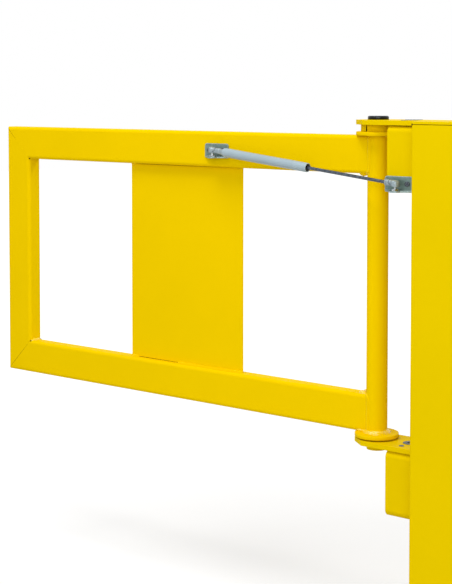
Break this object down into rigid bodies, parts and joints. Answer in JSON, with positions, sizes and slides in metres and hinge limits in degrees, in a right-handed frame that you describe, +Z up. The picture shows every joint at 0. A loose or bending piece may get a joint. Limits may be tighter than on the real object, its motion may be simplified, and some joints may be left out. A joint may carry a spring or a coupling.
{
  "type": "self-closing safety gate",
  "caption": "Welded tubular barrier leaf with a centre plate, hung on a box post between two hinge plates and pushed shut by a gas spring.",
  "frame": {"origin": "middle of the underside of the base plate, under the middle of the post", "axes": "+X along the closed leaf from its free end towards the post, +Y from the front to the back of the closed gate, +Z up"},
  "size_m": [1.514, 0.3, 1.1075],
  "materials": {
    "yellow_paint": "smooth signal-yellow powder coat",
    "zinc_plate": "dull zinc plating",
    "spring_grey": "satin pale grey paint",
    "rod_steel": "dark polished steel",
    "black_plastic": "satin black plastic",
    "bearing_brass": "plain turned bearing metal"
  },
  "bodies": {
    "post_body": {"base_plate": "yellow_paint", "post": "yellow_paint", "post_cap": "yellow_paint", "upper_arm": "yellow_paint", "upper_arm_end": "yellow_paint", "lower_arm": "yellow_paint", "lower_arm_end": "yellow_paint", "upper_hinge_plate": "yellow_paint", "lower_hinge_plate": "yellow_paint", "upper_hinge_pin": "zinc_plate", "lower_hinge_pin": "yellow_paint", "pin_cap": "black_plastic", "thrust_washer": "bearing_brass", "stop_fixed": "yellow_paint", "arm_bracket": "zinc_plate", "arm_ball_stud": "zinc_plate"},
    "leaf": {"top_rail": "yellow_paint", "bottom_rail": "yellow_paint", "latch_stile": "yellow_paint", "centre_plate": "yellow_paint", "hinge_tube": "yellow_paint", "upper_flange": "yellow_paint", "lower_flange": "yellow_paint", "upper_bush": "bearing_brass", "lower_bush": "bearing_brass", "stop_moving": "yellow_paint", "leaf_bracket": "zinc_plate", "leaf_ball_stud": "zinc_plate"},
    "rod": {"spring_rod": "rod_steel", "rod_socket": "zinc_plate", "rod_socket_clip": "rod_steel"},
    "cylinder": {"spring_cylinder": "spring_grey", "cylinder_gland": "black_plastic", "cylinder_socket": "zinc_plate", "cylinder_socket_clip": "rod_steel"}
  },
  "joints": [
    {"name": "leaf_hinge", "type": "hinge", "parent": "post_body", "child": "leaf", "pos_m": [-0.244, 0, 0.445], "axis": [0, 0, 1], "range_deg": [0, 90], "stiffness_Nm_per_rad": 5.7, "springref_deg": -126.05},
    {"name": "rod_pivot", "type": "hinge", "parent": "post_body", "child": "rod", "pos_m": [-0.158, -0.067, 0.973], "axis": [-0.0204, 0.0247, 0.9995], "range_deg": [0, 86]},
    {"name": "cylinder_slide", "type": "slide", "parent": "rod", "child": "cylinder", "axis": [0.9928, -0.0589, -0.1041], "range_m": [0, 0.1495]}
  ],
  "couplings": [
    {"joint": "rod_pivot", "follows": "leaf_hinge", "ratio": 0.95014},
    {"joint": "cylinder_slide", "follows": "leaf_hinge", "m_per_rad": 0.095074}
  ]
}
